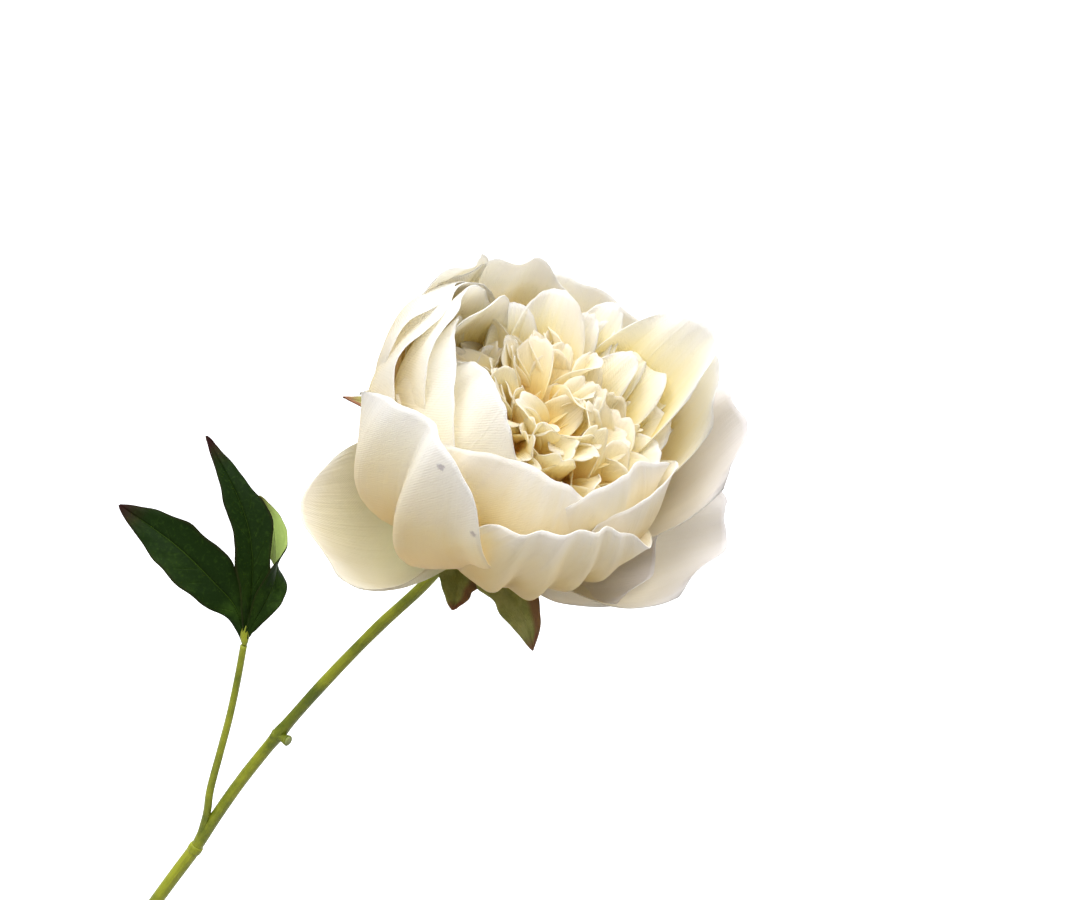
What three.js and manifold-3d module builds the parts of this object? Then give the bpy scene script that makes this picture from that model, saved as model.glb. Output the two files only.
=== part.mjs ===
// A full double peony standing in a plain glazed bud vase.
//
// One cut stem leans out of a narrow-necked vase. It carries a three-lobed leaf on a side stalk and,
// at its top, a calyx, a globe of ivory guard petals and a ruffled cream centre.
//
// Millimetres, +Z up. The origin is the middle of the vase's flat base, and the bloom is out along +X.
import * as THREE from 'three';
import { mergeVertices } from 'three/addons/utils/BufferGeometryUtils.js';
import Module from 'manifold-3d';

// ---------------------------------------------------------------- driving dimensions

const GAP = 0.3; // between pieces that rest on each other
const CLEARANCE = 0.35; // round the stem in its holes

const VASE_HEIGHT = 120;
const VASE_BASE_RADIUS = 36;
const VASE_FLOOR = 6; // thickness of the bottom
const VASE_FLOOR_RADIUS = 33;
const WATER_LEVEL = 72;
const ROUND_SIDES = 28; // facets round the vase

const STEM_FOOT_RADIUS = 2.5; // the thick lower length, up to the joint
const STEM_UPPER_RADIUS = 2.2; // just above the joint
const STEM_TOP_RADIUS = 1.9; // under the calyx
const CALYX_FOOT = -11.5; // height of the calyx's lower end on the bloom's axis
const STEM_END = -4.4; // height of the stem's end, inside the calyx
const STALK_RADIUS = 1.25;
const NUB_RADIUS = 1.3;

const RECEPTACLE = new THREE.Vector3(137.2, -21, 294.2); // centre of the petals' seat
const BLOOM_LEAN = 39.4; // degrees from upright
const BLOOM_HEADING = -57.2; // compass direction of the lean, from +X
const BLOOM_SPIN = -52.3; // turn of the petals about the bloom's own axis

const PETAL_THICKNESS = 0.9;
const WIDE_PETAL = 55; // petals wider than this have more facets across
const FRILL_THICKNESS = 0.8;
const LEAF_THICKNESS = 0.8;
const SEPAL_THICKNESS = 0.8;

const FRILL_COUNT = 30; // small petals of the centre
const FRILL_SPREAD = 0.82; // share of a half ball that they cover, from its top
const GOLDEN_TURN = 2.399963; // radians from one small petal to the next
const FRILL_SEED = 7;
const DOME_RADIUS = 17;
const DOME_CENTRE = 38; // height of the dome's middle over the receptacle
const SEAT = 13; // height of the guard petals' cushion, on which the centre stands
const PETAL_SEAT_FOOT = -2; // underside of that cushion

const LEAF_TILT = 70; // turns the leaf's flat frame up to face the front
const LEAF_BASE = new THREE.Vector3(56.1, -1.8, 242.9);

const COLOURS = {
  glaze: 0xe9e6df,
  water: 0xc9d6d6,
  stem: 0x87902d,
  leaf: 0x2f4a22,
  sepal: 0x7f8a4a,
  ivory: 0xf4efe6,
  cream: 0xf8e0a6,
};

// ---------------------------------------------------------------- solids

const library = await Module();
library.setup();

const radians = THREE.MathUtils.degToRad;
const point = (x, y, z) => new THREE.Vector3(x, y, z);

function toSolid(geometry) {
  const bare = geometry.clone();
  bare.deleteAttribute('normal');
  bare.deleteAttribute('uv');
  const merged = mergeVertices(bare, 1e-4);
  const corners = merged.index.array;
  const kept = [];
  for (let i = 0; i < corners.length; i += 3) {
    const [a, b, c] = [corners[i], corners[i + 1], corners[i + 2]];
    if (a !== b && b !== c && c !== a) kept.push(a, b, c);
  }
  return new library.Manifold(new library.Mesh({
    numProp: 3,
    vertProperties: new Float32Array(merged.attributes.position.array),
    triVerts: new Uint32Array(kept),
  }));
}

function toGeometry(solid) {
  const mesh = solid.getMesh();
  const geometry = new THREE.BufferGeometry();
  geometry.setAttribute('position', new THREE.BufferAttribute(mesh.vertProperties, mesh.numProp));
  geometry.setIndex(new THREE.BufferAttribute(mesh.triVerts, 1));
  geometry.computeVertexNormals();
  return geometry;
}

// Joins geometries into one solid.
function fuse(geometries) {
  return geometries.map(toSolid).reduce((whole, piece) => whole.add(piece));
}

// Leaves loose scraps and sealed hollows out of a joined solid.
function largestBody(solid) {
  return solid.decompose().reduce((best, body) => (body.volume() > best.volume() ? body : best));
}

// A solid of revolution about Z. The profile runs from the axis out, up and back to the axis.
function turned(profile, sides) {
  const points = profile.map(([radius, height]) => new THREE.Vector2(radius, height));
  return new THREE.LatheGeometry(points, sides).rotateX(Math.PI / 2);
}

// ---------------------------------------------------------------- tubes and blades

function roundSection(radius, sides) {
  const section = new THREE.Shape();
  for (let i = 0; i < sides; i += 1) {
    const angle = (2 * Math.PI * i) / sides;
    const [x, y] = [radius * Math.cos(angle), radius * Math.sin(angle)];
    if (i === 0) section.moveTo(x, y);
    else section.lineTo(x, y);
  }
  section.closePath();
  return section;
}

// A round bar along a curve, tapering evenly from one radius to the other.
function bar(curve, startRadius, endRadius, steps, sides = 8) {
  const options = { steps, extrudePath: curve, bevelEnabled: false };
  const geometry = new THREE.ExtrudeGeometry(roundSection(startRadius, sides), options);
  const stations = curve.getSpacedPoints(steps);
  const position = geometry.attributes.position;
  const corner = new THREE.Vector3();
  for (let i = 0; i < position.count; i += 1) {
    corner.fromBufferAttribute(position, i);
    const distances = stations.map((station) => station.distanceToSquared(corner));
    const nearest = distances.indexOf(Math.min(...distances));
    const scale = 1 + (endRadius / startRadius - 1) * (nearest / steps);
    corner.sub(stations[nearest]).multiplyScalar(scale).add(stations[nearest]);
    position.setXYZ(i, corner.x, corner.y, corner.z);
  }
  return geometry;
}

// A closed blade: the surface (s across from -1 to 1, t along from 0 to 1) thickened to both sides,
// with the same triangles on both faces.
function blade(surface, across, along, thickness) {
  const middle = [];
  for (let row = 0; row <= along; row += 1) {
    for (let column = 0; column <= across; column += 1) {
      middle.push(surface((2 * column) / across - 1, row / along));
    }
  }
  const at = (column, row) => row * (across + 1) + column;
  const faces = [];
  for (let row = 0; row < along; row += 1) {
    for (let column = 0; column < across; column += 1) {
      const [a, b] = [at(column, row), at(column + 1, row)];
      const [c, d] = [at(column + 1, row + 1), at(column, row + 1)];
      faces.push(a, b, c, a, c, d);
    }
  }
  const sheet = new THREE.BufferGeometry().setFromPoints(middle);
  sheet.setIndex(faces);
  sheet.computeVertexNormals();
  const normals = sheet.attributes.normal;
  const offset = (side) => middle.map((place, i) => (
    new THREE.Vector3().fromBufferAttribute(normals, i).multiplyScalar((side * thickness) / 2).add(place)
  ));
  const below = middle.length; // index of the lower face's first corner
  const index = [...faces];
  for (let i = 0; i < faces.length; i += 3) {
    index.push(faces[i] + below, faces[i + 2] + below, faces[i + 1] + below);
  }
  const rim = [];
  for (let column = 0; column < across; column += 1) rim.push(at(column, 0));
  for (let row = 0; row < along; row += 1) rim.push(at(across, row));
  for (let column = across; column > 0; column -= 1) rim.push(at(column, along));
  for (let row = along; row > 0; row -= 1) rim.push(at(0, row));
  rim.forEach((start, i) => {
    const end = rim[(i + 1) % rim.length];
    index.push(start + below, end + below, end, start + below, end, start);
  });
  const closed = new THREE.BufferGeometry().setFromPoints([...offset(1), ...offset(-1)]);
  closed.setIndex(index);
  return closed;
}

// The surface of a petal that grows from the bloom's axis (Z). Going up the petal, its tilt from
// the axis passes through three angles, its sides roll inward to a radius, its outline widens
// from a narrow claw to the belly and closes in a rounded tip, and its rim waves.
function petalSurface({
  azimuth, length, width, tilt, roll, twist = 0, root = 5, rise = 2, shoulder = 0.55,
  belly = 0.62, claw = 0.25, wave = 1.5, waves = 2, phase = 0, notch = 0,
}) {
  const steps = 24;
  const tiltAt = (u) => radians(
    tilt[0] * (2 * u - 1) * (u - 1) + tilt[1] * 4 * u * (1 - u) + tilt[2] * u * (2 * u - 1),
  );
  const meridian = [new THREE.Vector2(root, rise)];
  for (let i = 0; i < steps; i += 1) {
    const angle = tiltAt((i + 0.5) / steps);
    const step = new THREE.Vector2(Math.sin(angle), Math.cos(angle)).multiplyScalar(length / steps);
    meridian.push(meridian[i].clone().add(step));
  }
  return (s, t) => {
    const tip = Math.max((t - shoulder) / (1 - shoulder), 0);
    const girth = claw + (1 - claw) * Math.sin((Math.PI / 2) * Math.min(t / belly, 1)) ** 0.9;
    const across = s * (width / 2) * girth * Math.sqrt(1 - tip ** 2 / 2);
    const reach = tip > 0 ? shoulder + (1 - shoulder) * tip * Math.sqrt(1 - s ** 2 / 2) : t;
    const along = reach - notch * Math.exp(-((s / 0.16) ** 2)) * tip ** 2;
    const whole = Math.min(Math.floor(along * steps), steps - 1);
    const foot = meridian[whole].clone().lerp(meridian[whole + 1], along * steps - whole);
    const bend = roll[0] + (roll[1] - roll[0]) * along;
    const edgeWave = 0.6 * s ** 4 * t * (1 - tip) * Math.sin(waves * Math.PI * (1 - t) * 1.3 + phase);
    const ripple = wave * (tip ** 2 * Math.sin(waves * Math.PI * s + phase) + edgeWave);
    const inward = bend * (1 - Math.cos(across / bend)) + ripple;
    const sideways = bend * Math.sin(across / bend);
    const outward = foot.x - Math.cos(tiltAt(along)) * inward;
    const bearing = radians(azimuth + twist * along);
    return point(
      Math.cos(bearing) * outward - Math.sin(bearing) * sideways,
      Math.sin(bearing) * outward + Math.cos(bearing) * sideways,
      foot.y + Math.sin(tiltAt(along)) * inward,
    );
  };
}

// The surface of a pointed leaf or sepal along its midrib. Its face looks along facing, turned by
// roll (degrees at the base and at the tip), and its halves fold up from the midrib.
function lobeSurface({ midrib, halfWidth, facing, roll = [0, 0], fold = 0.2, wave = 0.5, neck = 0.12 }) {
  const curve = new THREE.CatmullRomCurve3(midrib);
  return (s, t) => {
    const tangent = curve.getTangentAt(t);
    const turn = radians(roll[0] + (roll[1] - roll[0]) * t);
    const normal = facing.clone().addScaledVector(tangent, -facing.dot(tangent)).normalize();
    normal.applyAxisAngle(tangent, turn);
    const side = tangent.clone().cross(normal);
    const outline = neck * (1 - t) + Math.sin(Math.PI * t) ** (1.4 - 0.6 * t) + 0.03;
    const breadth = s * halfWidth * outline;
    const ripple = wave * s ** 2 * Math.sin(9 * t + 2 * s);
    return curve.getPointAt(t)
      .addScaledVector(side, breadth)
      .addScaledVector(normal, fold * Math.abs(breadth) + ripple);
  };
}

// ---------------------------------------------------------------- frames

const bloomFrame = new THREE.Matrix4()
  .makeRotationZ(radians(BLOOM_HEADING))
  .multiply(new THREE.Matrix4().makeRotationY(radians(BLOOM_LEAN)))
  .multiply(new THREE.Matrix4().makeRotationZ(radians(BLOOM_SPIN)))
  .setPosition(RECEPTACLE);

const onBloomAxis = (height) => point(0, 0, height).applyMatrix4(bloomFrame);

// ---------------------------------------------------------------- vase and water

const VASE_OUTSIDE = [
  [VASE_BASE_RADIUS + 3, 3], [44.5, 17], [47, 36], [44, 58], [33, 77], [21.5, 91], [16.2, 103],
  [15.4, 112], [16.8, VASE_HEIGHT - 1.6],
];
const VASE_INSIDE = [
  [VASE_FLOOR_RADIUS + 3.5, VASE_FLOOR + 3.5], [40.3, 18], [42.5, 36], [39.6, 57], [28.8, 75],
  [17.4, 90], [12.2, 102], [11.4, 110], [12, VASE_HEIGHT - 1.4],
];

const OUTSIDE_STEPS = 11;
const INSIDE_STEPS = 10;

function smoothProfile(points, steps) {
  const curve = new THREE.SplineCurve(points.map(([radius, height]) => new THREE.Vector2(radius, height)));
  return curve.getPoints(steps).map((place) => [place.x, place.y]);
}

function vase() {
  const profile = [
    [0, 0],
    [VASE_BASE_RADIUS, 0],
    ...smoothProfile(VASE_OUTSIDE, OUTSIDE_STEPS),
    [15.8, VASE_HEIGHT - 0.3],
    [14.2, VASE_HEIGHT],
    [12.8, VASE_HEIGHT - 0.3],
    ...smoothProfile(VASE_INSIDE, INSIDE_STEPS).reverse(),
    [VASE_FLOOR_RADIUS, VASE_FLOOR],
    [0, VASE_FLOOR],
  ];
  return toSolid(turned(profile, ROUND_SIDES));
}

// Fills the vase up to its level, clear of the wall all round.
function water() {
  const wall = smoothProfile(VASE_INSIDE, INSIDE_STEPS);
  const above = wall.findIndex(([, height]) => height > WATER_LEVEL);
  const [[lowRadius, lowHeight], [highRadius, highHeight]] = [wall[above - 1], wall[above]];
  const share = (WATER_LEVEL - lowHeight) / (highHeight - lowHeight);
  const brim = [lowRadius + share * (highRadius - lowRadius), WATER_LEVEL];
  const wetted = [...wall.slice(0, above), brim];
  const profile = [
    [0, VASE_FLOOR + GAP],
    [VASE_FLOOR_RADIUS - CLEARANCE, VASE_FLOOR + GAP],
    ...wetted.map(([radius, height]) => [radius - CLEARANCE, height]),
    [0, WATER_LEVEL],
  ];
  return toSolid(turned(profile, ROUND_SIDES)).subtract(stemHole());
}

// ---------------------------------------------------------------- stem

const STEM_FOOT = point(-31, 0, VASE_FLOOR + 0.75);
const STEM_JOINT = point(35.1, -0.6, 159.3);
const LOWER_STEM = [
  STEM_FOOT, point(-27, 0, 42), point(-18, 0, 74), point(-5, 0, 100), point(8, 0, 120),
  point(22.4, -0.3, 141.3), STEM_JOINT,
];
const UPPER_STEM = [
  STEM_JOINT, point(45.6, -1.2, 176.2), point(56, -2, 191.4), point(78.4, -4, 220.2),
  point(102.4, -6, 247.6), point(119.3, -7.4, 264.8), point(129.3, -10.6, 278),
  onBloomAxis(CALYX_FOOT - 1.2), onBloomAxis(STEM_END),
];
const STALK = [
  point(36, -0.6, 161), point(39.6, -1.4, 173), point(41.3, -2, 182.6), point(45.6, -2.5, 198),
  point(49.8, -2.8, 213), point(53.3, -2.8, 228), point(55.7, -2.6, 239.8),
];

function stem() {
  const lower = new THREE.CatmullRomCurve3(LOWER_STEM);
  const upper = new THREE.CatmullRomCurve3(UPPER_STEM);
  const along = upper.getTangentAt(0);
  const collar = new THREE.LineCurve3(
    STEM_JOINT.clone().addScaledVector(along, -2.2),
    STEM_JOINT.clone().addScaledVector(along, 0.8),
  );
  const nub = new THREE.LineCurve3(point(66.3, -3, 205.3), point(71.2, -4.4, 204.8));
  return largestBody(fuse([
    bar(lower, STEM_FOOT_RADIUS, STEM_FOOT_RADIUS - 0.1, 16),
    bar(upper, STEM_UPPER_RADIUS, STEM_TOP_RADIUS, 24),
    bar(collar, STEM_FOOT_RADIUS + 0.15, STEM_FOOT_RADIUS + 0.1, 1, 10),
    bar(new THREE.CatmullRomCurve3(STALK), STALK_RADIUS + 0.2, STALK_RADIUS, 14, 6),
    bar(nub, NUB_RADIUS, NUB_RADIUS + 0.3, 2, 6),
  ]));
}

// The room that the stem needs in the water, a little past its foot.
function stemHole() {
  const start = STEM_FOOT.clone().add(point(-0.3, 0, -2));
  const route = new THREE.CatmullRomCurve3([start, ...LOWER_STEM.slice(1)]);
  const radius = STEM_FOOT_RADIUS + CLEARANCE;
  return toSolid(bar(route, radius, radius, 22));
}

// ---------------------------------------------------------------- leaf

// The leaf's own frame: x to the right, y up the leaf, z out of its face.
const LOBES = [
  {
    midrib: [
      point(0, -1, 0), point(-3, 10, 1), point(-11, 19.8, 3.5), point(-23.3, 32, 5), point(-43.5, 46, 1),
    ],
    halfWidth: 9,
    roll: [0, 12],
  },
  {
    midrib: [
      point(0, -1, 0), point(2.4, 14, 2), point(3.2, 26, 3), point(1.6, 38, 2.8), point(-2.4, 49.5, 2),
      point(-8.4, 60.5, 0), point(-13.8, 70, -3),
    ],
    halfWidth: 6.6,
    roll: [20, 35],
    fold: 0.3,
  },
  {
    midrib: [
      point(0, -1, 0), point(4, 6, 2), point(8, 12.8, 2.2), point(10.6, 20, -0.5), point(10.4, 30, -5),
      point(8.4, 41, -8), point(4.2, 49, -9),
    ],
    halfWidth: 5.4,
    roll: [15, 120],
  },
];

function leaf() {
  const facing = point(0, 0, 1);
  const lobes = LOBES.map((lobe) => blade(lobeSurface({ facing, ...lobe }), 4, 9, LEAF_THICKNESS));
  const knuckle = new THREE.SphereGeometry(1.5, 8, 6).scale(1, 2, 1);
  return largestBody(fuse([knuckle, ...lobes]));
}

// ---------------------------------------------------------------- bloom

function petal(azimuth, length, width, tilt, roll, extras = {}) {
  return { azimuth, length, width, tilt, roll, ...extras };
}

// Outer and middle petals, from the lowest and outermost inward.
const GUARD_PETALS = [
  petal(-34, 58, 84, [106, 92, 40], [14, 34], { rise: -1, shoulder: 0.4, wave: 1, twist: -14 }),
  petal(10, 102, 114, [98, 32, -26], [16, 46], { shoulder: 0.5, wave: 0.6, twist: -44 }),
  petal(46, 110, 112, [95, 26, -26], [16, 56], { shoulder: 0.45, wave: 2.2, waves: 1.6 }),
  petal(110, 88, 78, [104, 62, 14], [16, 60], { wave: 2, twist: -4 }),
  petal(98, 62, 60, [100, 66, 30], [16, 60], { rise: 0, wave: 2 }),
  petal(127, 103, 64, [94, 40, 8], [16, 50], { wave: 2 }),
  petal(143, 104, 60, [90, 28, 12], [16, 50], { wave: 2 }),
  petal(178, 108, 92, [90, 20, -22], [16, 52], { wave: 2, phase: 1 }),
  petal(-145, 112, 84, [90, 20, -24], [16, 46], { wave: 2.5, waves: 3 }),
  petal(-92, 113, 98, [98, 26, -34], [16, 48], { twist: -4 }),
  petal(-54, 102, 68, [88, 16, -34], [14, 36], { rise: 6, wave: 0.8, twist: -14 }),
  petal(-106, 98, 42, [84, 10, -28], [14, 26], { rise: 10, wave: 1 }),
  petal(8, 103, 104, [94, 18, -40], [14, 42], { rise: 4, wave: 1.2 }),
  petal(64, 101, 84, [94, 18, -34], [14, 46], { rise: 5 }),
  petal(78, 98, 76, [96, 24, -20], [14, 46], { rise: 3 }),
  petal(146, 106, 52, [84, 22, 10], [14, 22], { rise: 6 }),
  petal(116, 88, 38, [76, 6, 50], [14, 26], { rise: 8, wave: 0.8 }),
  petal(126, 96, 40, [82, 14, 10], [14, 22], { rise: 8, wave: 0.8 }),
  petal(-40, 98, 46, [80, 10, -38], [14, 26], { rise: 10, wave: 0.8, twist: -4 }),
  petal(-176, 97, 44, [78, 6, -18], [14, 26], { rise: 10, wave: 2, waves: 2.5 }),
  petal(-142, 93, 40, [78, 6, -20], [14, 24], { rise: 10 }),
  petal(156, 90, 38, [76, 6, -8], [14, 22], { rise: 10 }),
];

// The solid cushion that the petals' claws grow together in.
const PETAL_SEAT = [
  [0, PETAL_SEAT_FOOT], [8.5, PETAL_SEAT_FOOT], [14, 0.5], [21, 3.5], [27, 9], [29, 16], [27, 20],
  [20, 17.5], [14, SEAT], [0, SEAT],
];

// The room inside the guard petals that the centre fills, as radius and height over the receptacle.
const CENTRE_ROOM = [
  [6.5, SEAT + GAP], [7.5, 20], [14, 25], [22, 30], [26.5, 38], [28.5, 50], [28.5, 66], [24, 80],
];

const CENTRE_ROOM_TOP = 86;

function centreRoom(margin) {
  const wall = CENTRE_ROOM.map(([radius, height]) => [radius + margin, height - margin]);
  return toSolid(turned([[0, wall[0][1]], ...wall, [0, CENTRE_ROOM_TOP]], 24));
}

function guardPetals() {
  const core = turned(PETAL_SEAT, 12);
  const petals = GUARD_PETALS.map((each) => (
    each.width > WIDE_PETAL
      ? blade(petalSurface(each), 5, 5, PETAL_THICKNESS)
      : blade(petalSurface(each), 3, 4, PETAL_THICKNESS)
  ));
  return largestBody(fuse([core, ...petals]).subtract(centreRoom(GAP)));
}

// Small notched petals set on a dome by the golden turn, each with its own seeded tilt and size.
function centrePetals() {
  const dome = turned([
    [0, SEAT + GAP], [6, SEAT + GAP], [7, 20], [12.5, 25.5], [16.2, 33], [DOME_RADIUS, DOME_CENTRE],
    [14.7, 46.5], [8.5, 52.7], [0, DOME_CENTRE + DOME_RADIUS],
  ], 16);
  let state = FRILL_SEED;
  const draw = () => {
    state = (state * 16807) % 2147483647;
    return state / 2147483647;
  };
  const spread = (range) => (draw() - 0.5) * range;
  const frills = [];
  for (let i = 0; i < FRILL_COUNT; i += 1) {
    const share = (i + 0.5) / FRILL_COUNT; // from the top of the dome outward
    const polar = Math.acos(1 - FRILL_SPREAD * share);
    const turn = i * GOLDEN_TURN;
    const foot = new THREE.Vector3().setFromSphericalCoords(DOME_RADIUS, polar, turn);
    const lean = polar * 0.4 + spread(0.5);
    const heading = turn + spread(0.8);
    const surface = petalSurface({
      length: 25 + 8 * share + spread(7),
      width: 13 + 8 * share + spread(5),
      tilt: [8, 20 + spread(10), 20 + spread(50)],
      roll: [6, 7 + 7 * draw()],
      waves: 2 + 1.5 * draw(),
      phase: 6 * draw(),
      notch: 0.16 * draw(),
      azimuth: spread(110),
      root: 0,
      rise: -4,
      shoulder: 0.45,
      claw: 0.35,
      belly: 0.7,
      wave: 1,
    });
    const place = new THREE.Matrix4()
      .makeTranslation(foot.z, foot.x, DOME_CENTRE + foot.y)
      .multiply(new THREE.Matrix4().makeRotationZ(heading))
      .multiply(new THREE.Matrix4().makeRotationY(lean));
    frills.push(blade(surface, 3, 3, FRILL_THICKNESS).applyMatrix4(place));
  }
  return largestBody(fuse([dome, ...frills]).intersect(centreRoom(0)));
}

// Sepals, each by its compass direction on the bloom and the run of its midrib outward.
const SEPALS = [
  { azimuth: 60, run: [[4, -6], [16, -6.5], [32, -6], [40, -8.5], [46, -13]], halfWidth: 9 },
  { azimuth: 19, run: [[4, -6], [12, -8], [21, -9], [31, -9]], halfWidth: 6 },
  { azimuth: -107, run: [[4, -6], [18, -9], [38, -9.5], [61, -6]], halfWidth: 5 },
  { azimuth: -170, run: [[4, -6], [14, -7.5], [25, -7], [36, -4.5]], halfWidth: 7 },
  { azimuth: 118, run: [[4, -6], [13, -7.5], [23, -7.5], [33, -6]], halfWidth: 6 },
];

function calyx() {
  const top = PETAL_SEAT_FOOT - GAP;
  const cup = turned([[0, CALYX_FOOT], [4.2, CALYX_FOOT], [7.2, -8], [8.2, -4.5], [7.6, top], [0, top]], 16);
  const sepals = SEPALS.map(({ azimuth, run, halfWidth }) => {
    const midrib = run.map(([radius, height]) => point(radius, 0, height));
    const shape = lobeSurface({ midrib, halfWidth, facing: point(0, 0, 1), fold: 0.12, neck: 0.5 });
    return blade(shape, 2, 6, SEPAL_THICKNESS).rotateZ(radians(azimuth));
  });
  const seat = new THREE.LineCurve3(point(0, 0, CALYX_FOOT - 5), point(0, 0, STEM_END + GAP));
  const socket = bar(seat, STEM_TOP_RADIUS + CLEARANCE, STEM_TOP_RADIUS + CLEARANCE, 1, 16);
  return largestBody(fuse([cup, ...sepals]).subtract(toSolid(socket)));
}

// ---------------------------------------------------------------- assembly

function meshOf(name, solid, colour, roughness) {
  const material = new THREE.MeshStandardMaterial({ color: colour, roughness, metalness: 0 });
  const mesh = new THREE.Mesh(toGeometry(solid), material);
  mesh.name = name;
  return mesh;
}

const bloom = new THREE.Group();
bloom.applyMatrix4(bloomFrame);
bloom.add(
  meshOf('calyx', calyx(), COLOURS.sepal, 0.8),
  meshOf('guard_petals', guardPetals(), COLOURS.ivory, 0.7),
  meshOf('centre_petals', centrePetals(), COLOURS.cream, 0.75),
);

const foliage = new THREE.Group();
foliage.position.copy(LEAF_BASE);
foliage.rotation.x = radians(LEAF_TILT);
foliage.add(meshOf('leaf', leaf(), COLOURS.leaf, 0.5));

const peony = new THREE.Group();
peony.add(
  meshOf('vase', vase(), COLOURS.glaze, 0.2),
  meshOf('water', water(), COLOURS.water, 0.1),
  meshOf('stem', stem(), COLOURS.stem, 0.45),
  foliage,
  bloom,
);

export default peony;
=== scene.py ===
"""A double ivory peony leaning out of a glazed bud vase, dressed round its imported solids.

Sizes of the pieces are millimetres, and each mesh is scaled to metres when it is finished. +Z is up,
and the origin is the middle of the vase's flat base.
"""
import logging
import math
from bisect import bisect_right
from collections.abc import Callable, Iterator, Sequence
from dataclasses import dataclass
from enum import Enum

import bmesh
import bpy
from mathutils import Matrix, Vector, noise


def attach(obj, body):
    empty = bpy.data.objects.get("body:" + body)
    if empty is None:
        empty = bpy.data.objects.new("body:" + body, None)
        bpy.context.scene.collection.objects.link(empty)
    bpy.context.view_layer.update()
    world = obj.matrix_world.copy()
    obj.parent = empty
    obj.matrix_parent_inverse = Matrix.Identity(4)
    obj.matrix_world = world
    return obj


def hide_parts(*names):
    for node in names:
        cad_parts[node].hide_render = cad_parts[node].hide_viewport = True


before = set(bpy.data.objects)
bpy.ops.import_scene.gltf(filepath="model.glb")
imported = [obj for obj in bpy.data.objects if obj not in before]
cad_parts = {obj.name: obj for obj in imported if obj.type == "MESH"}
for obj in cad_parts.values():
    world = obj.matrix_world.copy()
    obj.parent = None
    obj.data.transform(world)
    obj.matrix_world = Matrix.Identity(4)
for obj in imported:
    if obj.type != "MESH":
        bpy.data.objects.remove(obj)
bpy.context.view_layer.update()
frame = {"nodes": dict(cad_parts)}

LOG = logging.getLogger("peony")

MM = 0.001
BODY = "root"

Surface = Callable[[float, float], Vector]
Colour = tuple[float, float, float, float]
Stops = tuple[tuple[float, Colour], ...]
Pair = tuple[float, float]
Point = tuple[float, float, float]
# A soft ridge up a petal, a valley where it is negative: where it runs at the base and at the tip, from -1
# to 1 across, its width and its height.
Fold = tuple[float, float, float, float]
Material = bpy.types.Material
Socket = bpy.types.NodeSocket


def srgb(red: int, green: int, blue: int) -> Colour:
    """Turns screen values from 0 to 255 into the linear colour that a shader takes."""
    def linear(level: int) -> float:
        """Undoes the screen's tone curve for one channel."""
        share = level / 255
        return share / 12.92 if share <= 0.04045 else ((share + 0.055) / 1.055) ** 2.4

    return (linear(red), linear(green), linear(blue), 1.0)


def stops(*rows: tuple[float, int, int, int]) -> Stops:
    """Turns rows of a position and screen values into a ramp's stops."""
    return tuple((row[0], srgb(*row[1:])) for row in rows)


def smooth(low: float, high: float, value: float) -> float:
    """Goes smoothly from 0 at low to 1 at high, whichever is the larger."""
    share = min(max((value - low) / (high - low), 0.0), 1.0)
    return share * share * (3 - 2 * share)


def turn(degrees: float, axis: str) -> Matrix:
    """A rotation by degrees about X, Y or Z."""
    return Matrix.Rotation(math.radians(degrees), 4, axis)


class Draws:
    """Seeded random draws, the same in every run."""

    FACTOR = 16807
    MODULUS = 2147483647

    def __init__(self, seed: int) -> None:
        """Starts the series at a seed."""
        self.state = seed

    def draw(self) -> float:
        """The next number from 0 to 1."""
        self.state = self.state * self.FACTOR % self.MODULUS
        return self.state / self.MODULUS

    def spread(self, span: float) -> float:
        """The next number, from minus to plus half the span."""
        return (self.draw() - 0.5) * span


# ---- curves and meshes


class Curve:
    """A smooth curve through points, walked by the share of its length."""

    SAMPLES = 40
    STRIDE = 0.01  # half the share of the length that a tangent spans

    def __init__(self, points: Sequence[Sequence[float]]) -> None:
        """Samples the curve through points in their order."""
        knots = [Vector(point) for point in points]
        ends = [2 * knots[0] - knots[1], *knots, 2 * knots[-1] - knots[-2]]
        self.places: list[Vector] = []
        for four in zip(ends, ends[1:], ends[2:], ends[3:]):
            self.places += [self._between(*four, i / self.SAMPLES) for i in range(self.SAMPLES)]
        self.places.append(knots[-1])
        self.walked = [0.0]
        for start, end in zip(self.places, self.places[1:]):
            self.walked.append(self.walked[-1] + (end - start).length)
        self.length = self.walked[-1]

    @staticmethod
    def _between(before: Vector, start: Vector, end: Vector, after: Vector, share: float) -> Vector:
        """A place between two knots, by the centripetal Catmull-Rom rule."""
        came, goes, next_goes = start - before, end - start, after - end
        first, middle, last = (step.length ** 0.5 for step in (came, goes, next_goes))
        leave = (came / first - (end - before) / (first + middle) + goes / middle) * middle
        arrive = (goes / middle - (after - start) / (middle + last) + next_goes / last) * middle
        square, cube = share ** 2, share ** 3
        return (
            (2 * cube - 3 * square + 1) * start + (cube - 2 * square + share) * leave
            + (3 * square - 2 * cube) * end + (cube - square) * arrive
        )

    def place(self, share: float) -> Vector:
        """The place at a share of the length from the start."""
        walked = min(max(share, 0.0), 1.0) * self.length
        i = min(bisect_right(self.walked, walked), len(self.places) - 1)
        step = self.walked[i] - self.walked[i - 1]
        return self.places[i - 1].lerp(self.places[i], (walked - self.walked[i - 1]) / step)

    def tangent(self, share: float) -> Vector:
        """The direction of travel at a share of the length."""
        return (self.place(share + self.STRIDE) - self.place(share - self.STRIDE)).normalized()


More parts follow.
